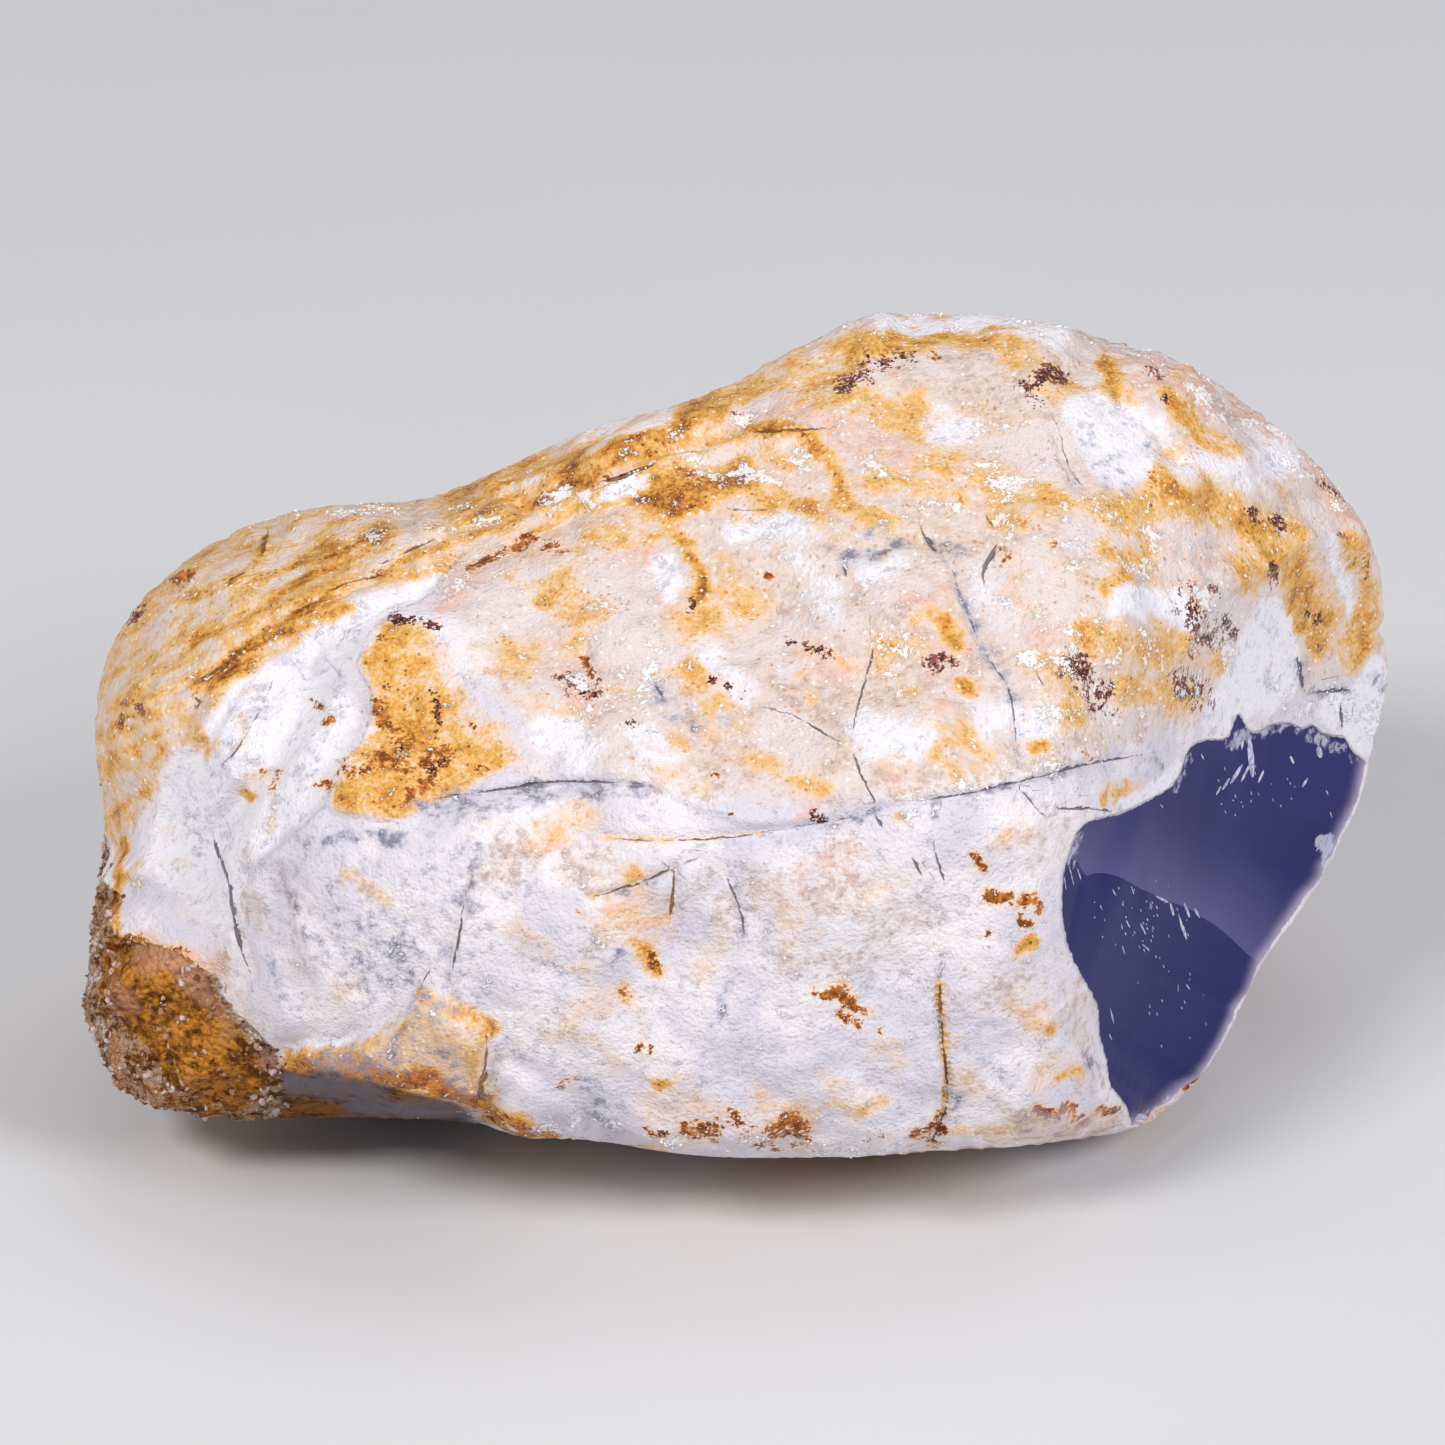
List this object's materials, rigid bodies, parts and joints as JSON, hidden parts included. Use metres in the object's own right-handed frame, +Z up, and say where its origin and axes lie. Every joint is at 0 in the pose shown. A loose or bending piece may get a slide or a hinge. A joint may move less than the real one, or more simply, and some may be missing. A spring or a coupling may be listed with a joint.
{
  "type": "rough chalcedony nodule",
  "caption": "Rough chalcedony nodule with a pale stained rind, a knobbly crust at one end and a two-faced shell-shaped break at the other, lying on a small flat spot.",
  "frame": {"origin": "middle of the bounding box's footprint, on the surface the stone rests on", "axes": "+X along the stone towards the broken end, +Y away from the viewer of the broken end and the flat front, +Z up"},
  "size_m": [0.0804, 0.0588, 0.0465],
  "materials": {
    "rind": "matt chalky rind with ochre stains, waxy where worn, polished-looking on the break"
  },
  "bodies": {
    "root": {"chalcedony_nodule": "rind"}
  },
  "joints": []
}
